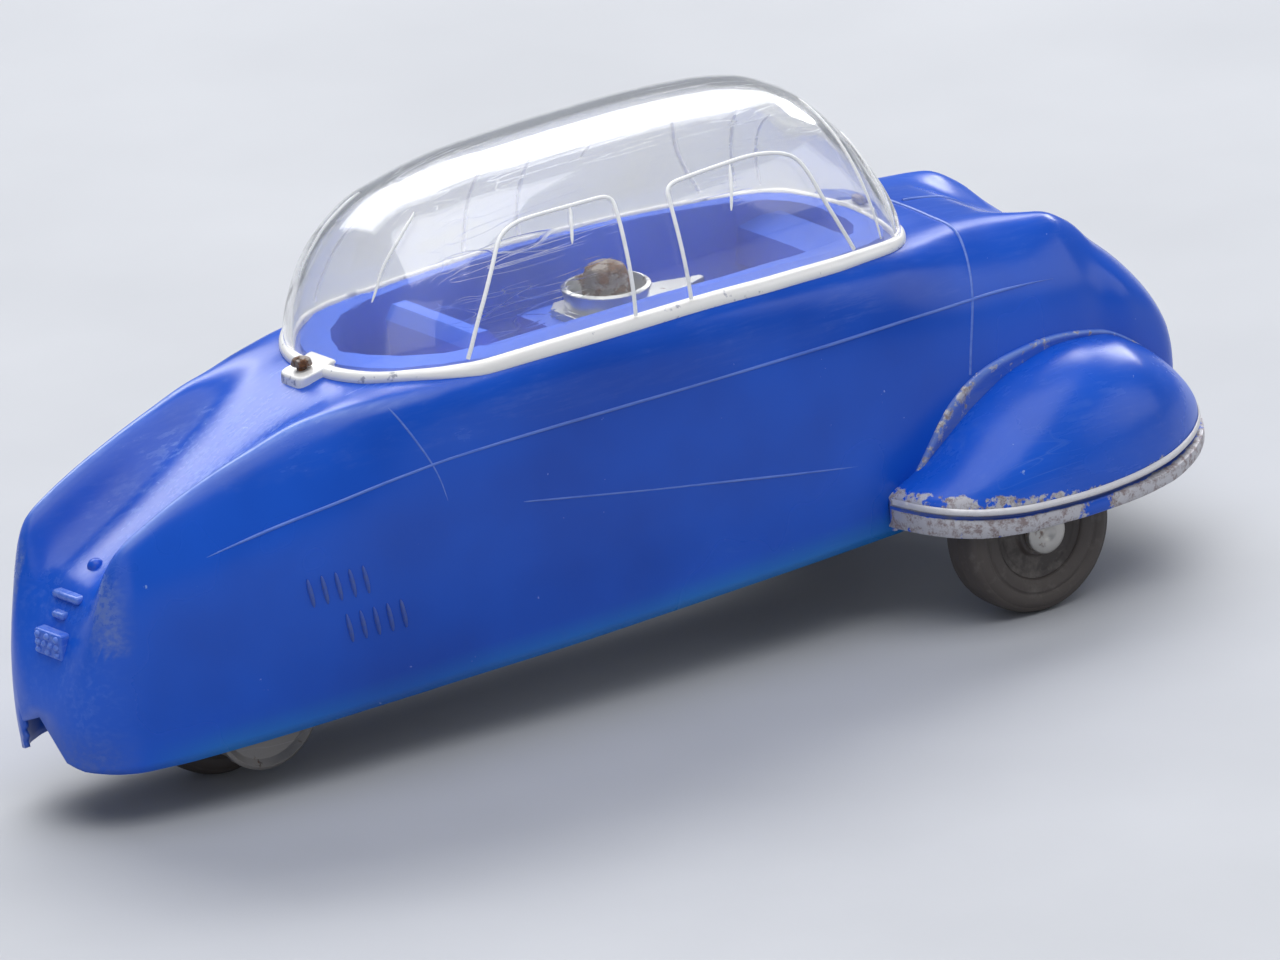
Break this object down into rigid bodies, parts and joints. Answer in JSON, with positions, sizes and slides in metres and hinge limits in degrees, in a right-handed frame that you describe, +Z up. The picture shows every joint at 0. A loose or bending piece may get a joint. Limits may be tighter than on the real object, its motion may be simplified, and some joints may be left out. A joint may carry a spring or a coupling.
{
  "type": "friction toy car",
  "caption": "Small friction-drive toy of a three-wheeled bubble car: blue moulded body, clear dome, front fenders and geared flywheel drive to the rear wheel.",
  "frame": {"origin": "middle of the length and width, on the ground under the wheels", "axes": "+X forward to the nose, +Y to the car's left, +Z up"},
  "size_m": [0.114, 0.0466, 0.0484],
  "materials": {
    "blue_shell": "glossy moulded styrene, scratched",
    "blue_cabin": "glossy moulded styrene",
    "clear_canopy": "clear moulded styrene, scuffed, painted rim",
    "rusted_steel": "rusted",
    "tinplate": "dull tinplate",
    "bright_strip": "bright pressed sheet, stained",
    "bright_cap": "bright, dulled",
    "steel_rod": "drawn wire",
    "tyre_rubber": "hard black rubber, greyed",
    "wheel_plastic": "dark moulded plastic",
    "cast_zinc": "die-cast zinc, greyed",
    "gear_brass": "cut brass"
  },
  "bodies": {
    "chassis": {"body_shell": "blue_shell", "front_fender_right": "blue_shell", "front_fender_left": "blue_shell", "canopy": "clear_canopy", "canopy_pin_rear": "rusted_steel", "canopy_pin_front": "rusted_steel", "cabin_insert": "blue_cabin", "base_plate": "tinplate", "clamp_post": "tinplate", "clamp_strip": "bright_strip", "clamp_screw": "rusted_steel", "motor_frame": "tinplate", "frame_rivet_1": "steel_rod", "frame_rivet_2": "steel_rod", "frame_rivet_3": "steel_rod", "frame_post": "steel_rod", "idler_arbor": "steel_rod"},
    "front_wheels": {"front_axle": "steel_rod", "front_tyre_right": "tyre_rubber", "front_wheel_disc_right": "wheel_plastic", "front_axle_cap_right": "bright_cap", "front_tyre_left": "tyre_rubber", "front_wheel_disc_left": "wheel_plastic", "front_axle_cap_left": "bright_cap"},
    "rear_wheel": {"rear_axle": "steel_rod", "rear_tyre": "tyre_rubber", "rear_wheel_disc": "wheel_plastic", "drive_gear": "cast_zinc"},
    "idler": {"idler_gear": "gear_brass", "idler_pinion": "gear_brass"},
    "flywheel_set": {"flywheel_arbor": "steel_rod", "flywheel_pinion": "gear_brass", "flywheel": "cast_zinc"}
  },
  "joints": [
    {"name": "front_axle_spin", "type": "hinge", "parent": "chassis", "child": "front_wheels", "pos_m": [0.034, 0, 0.0075], "axis": [0, 1, 0], "continuous": true},
    {"name": "rear_axle_spin", "type": "hinge", "parent": "chassis", "child": "rear_wheel", "pos_m": [-0.0393, 0, 0.0075], "axis": [0, 1, 0], "continuous": true},
    {"name": "idler_spin", "type": "hinge", "parent": "chassis", "child": "idler", "pos_m": [-0.03279, 0, 0.01008], "axis": [0, 1, 0], "continuous": true},
    {"name": "flywheel_spin", "type": "hinge", "parent": "chassis", "child": "flywheel_set", "pos_m": [-0.02628, 0, 0.01265], "axis": [0, 1, 0], "continuous": true}
  ],
  "couplings": [
    {"joint": "idler_spin", "follows": "rear_axle_spin", "ratio": -2.5},
    {"joint": "flywheel_spin", "follows": "rear_axle_spin", "ratio": 6.25}
  ]
}
